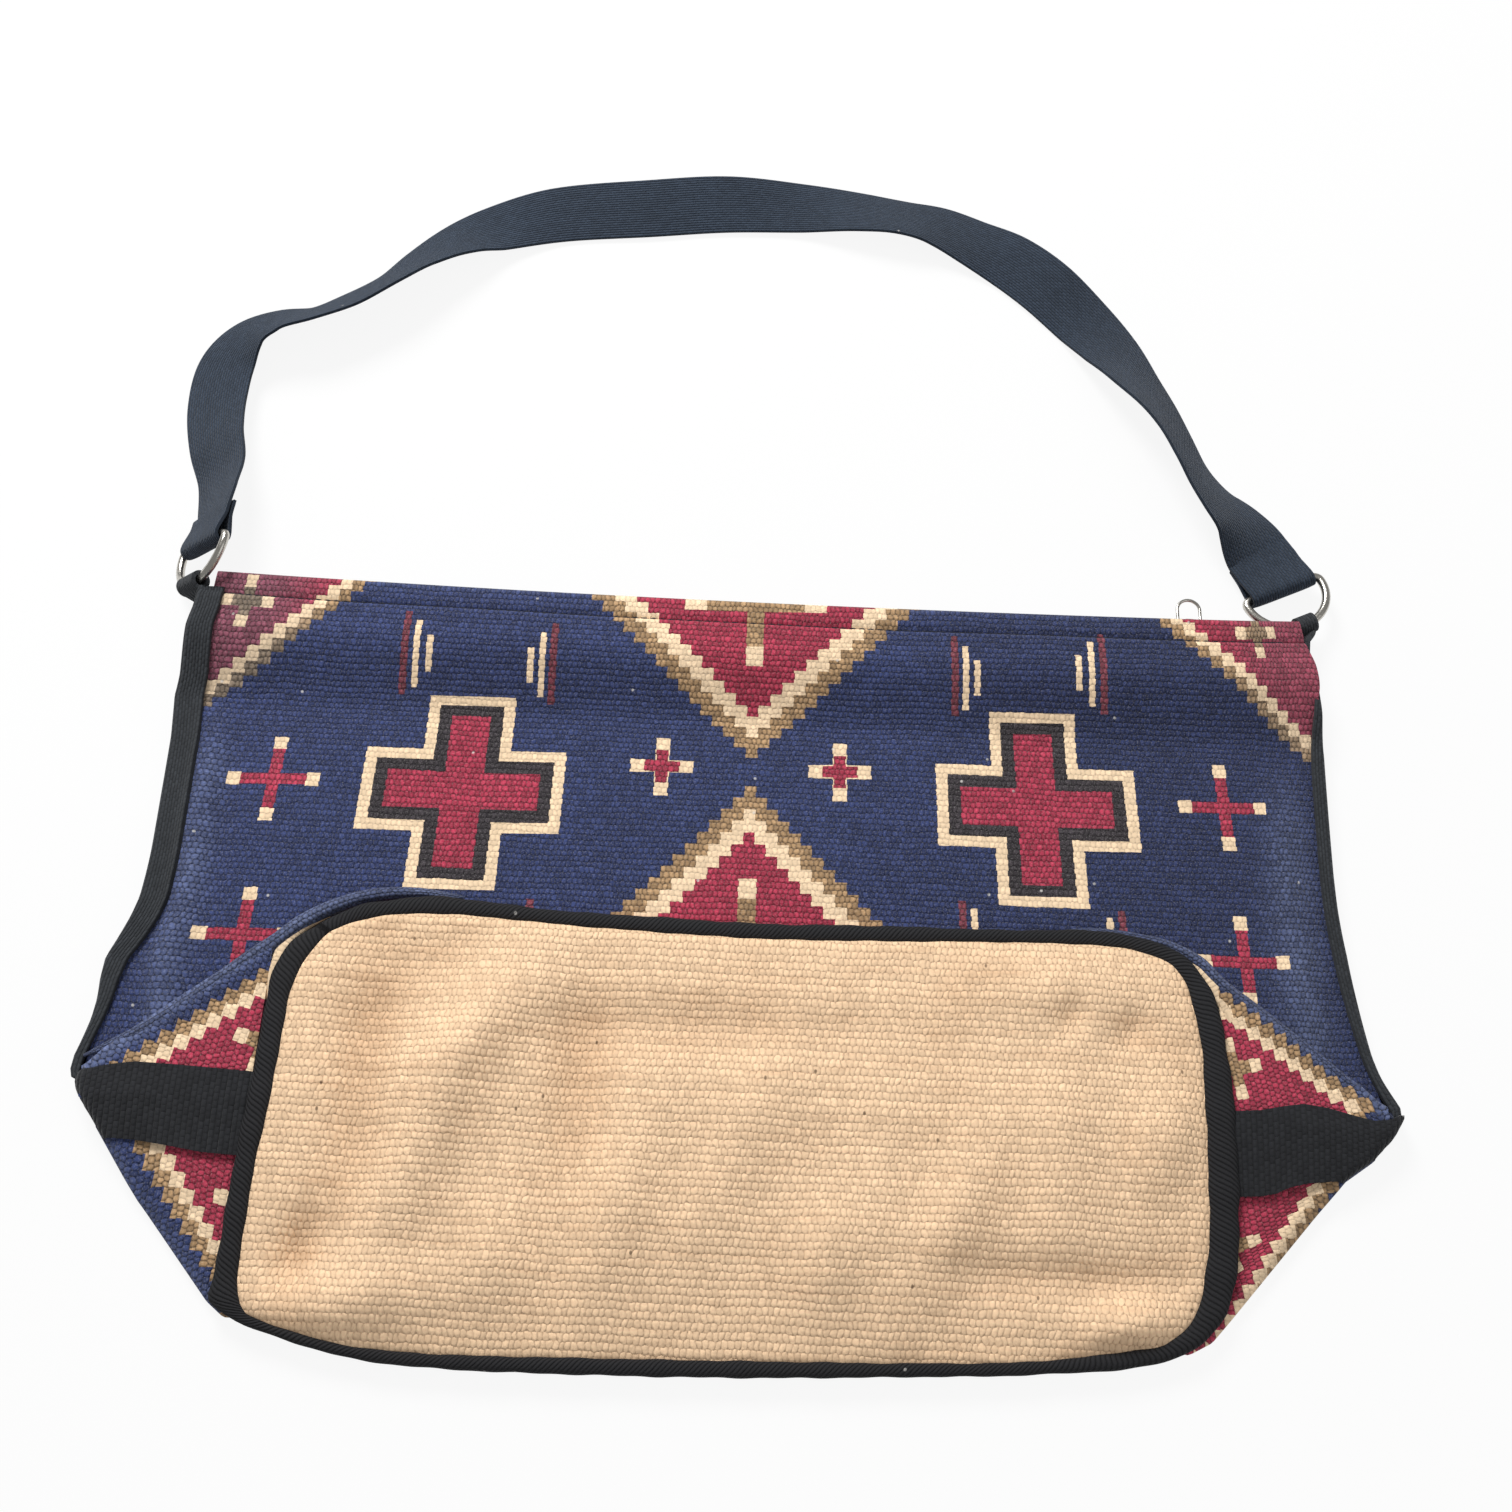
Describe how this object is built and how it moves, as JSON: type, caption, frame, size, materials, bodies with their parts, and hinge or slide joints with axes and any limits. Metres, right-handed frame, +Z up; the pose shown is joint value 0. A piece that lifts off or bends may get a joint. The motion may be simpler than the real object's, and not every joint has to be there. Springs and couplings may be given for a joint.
{
  "type": "shoulder bag",
  "caption": "Soft cloth shoulder bag lying folded flat, with a bound base turned up over the front, black webbing sides, wire rings and a webbing strap.",
  "frame": {"origin": "on the table under the bag's back panel, about half way between the two side edges", "axes": "+Z up from the table, +Y from the base to the mouth and the strap, +X to the right as the picture shows it"},
  "size_m": [0.5163, 0.549, 0.029],
  "materials": {
    "printed_cloth": "matte printed rep weave",
    "natural_cloth": "matte undyed rep weave",
    "black_webbing": "matte ribbed webbing",
    "black_twill": "matte twill binding",
    "nickel_wire": "worn nickel plate",
    "zip_cloth": "matte tape",
    "zip_teeth": "moulded teeth"
  },
  "bodies": {
    "bag": {"front_panel": "printed_cloth", "back_panel": "printed_cloth", "base_panel": "natural_cloth", "base_binding": "black_twill", "side_webbing_left": "black_webbing", "side_webbing_right": "black_webbing", "shoulder_strap": "black_webbing", "zip_tape_front": "zip_cloth", "zip_tape_back": "zip_cloth", "zip_teeth_front": "zip_teeth", "zip_teeth_back": "zip_teeth"},
    "left_ring": {"ring_left": "nickel_wire"},
    "right_ring": {"ring_right": "nickel_wire"},
    "slider": {"zip_slider": "nickel_wire"},
    "pull": {"zip_pull": "nickel_wire"}
  },
  "joints": [
    {"name": "left_ring_swing", "type": "hinge", "parent": "bag", "child": "left_ring", "pos_m": [-0.2404, 0.144, 0.01482], "axis": [0.717, -0.0577, 0.6947], "range_deg": [-3, 50], "deforming": ["shoulder_strap"]},
    {"name": "right_ring_swing", "type": "hinge", "parent": "bag", "child": "right_ring", "pos_m": [0.2315, 0.1526, 0.0089], "axis": [0.9093, 0.4146, 0.0347], "range_deg": [-12, 35], "deforming": ["shoulder_strap"]},
    {"name": "zip_slide", "type": "slide", "parent": "bag", "child": "slider", "axis": [1, 0, 0], "range_m": [-0.385, 0]},
    {"name": "pull_swing", "type": "hinge", "parent": "slider", "child": "pull", "pos_m": [0.182, 0.1508, 0.0089], "axis": [1, 0, 0], "range_deg": [-40, 70]}
  ]
}
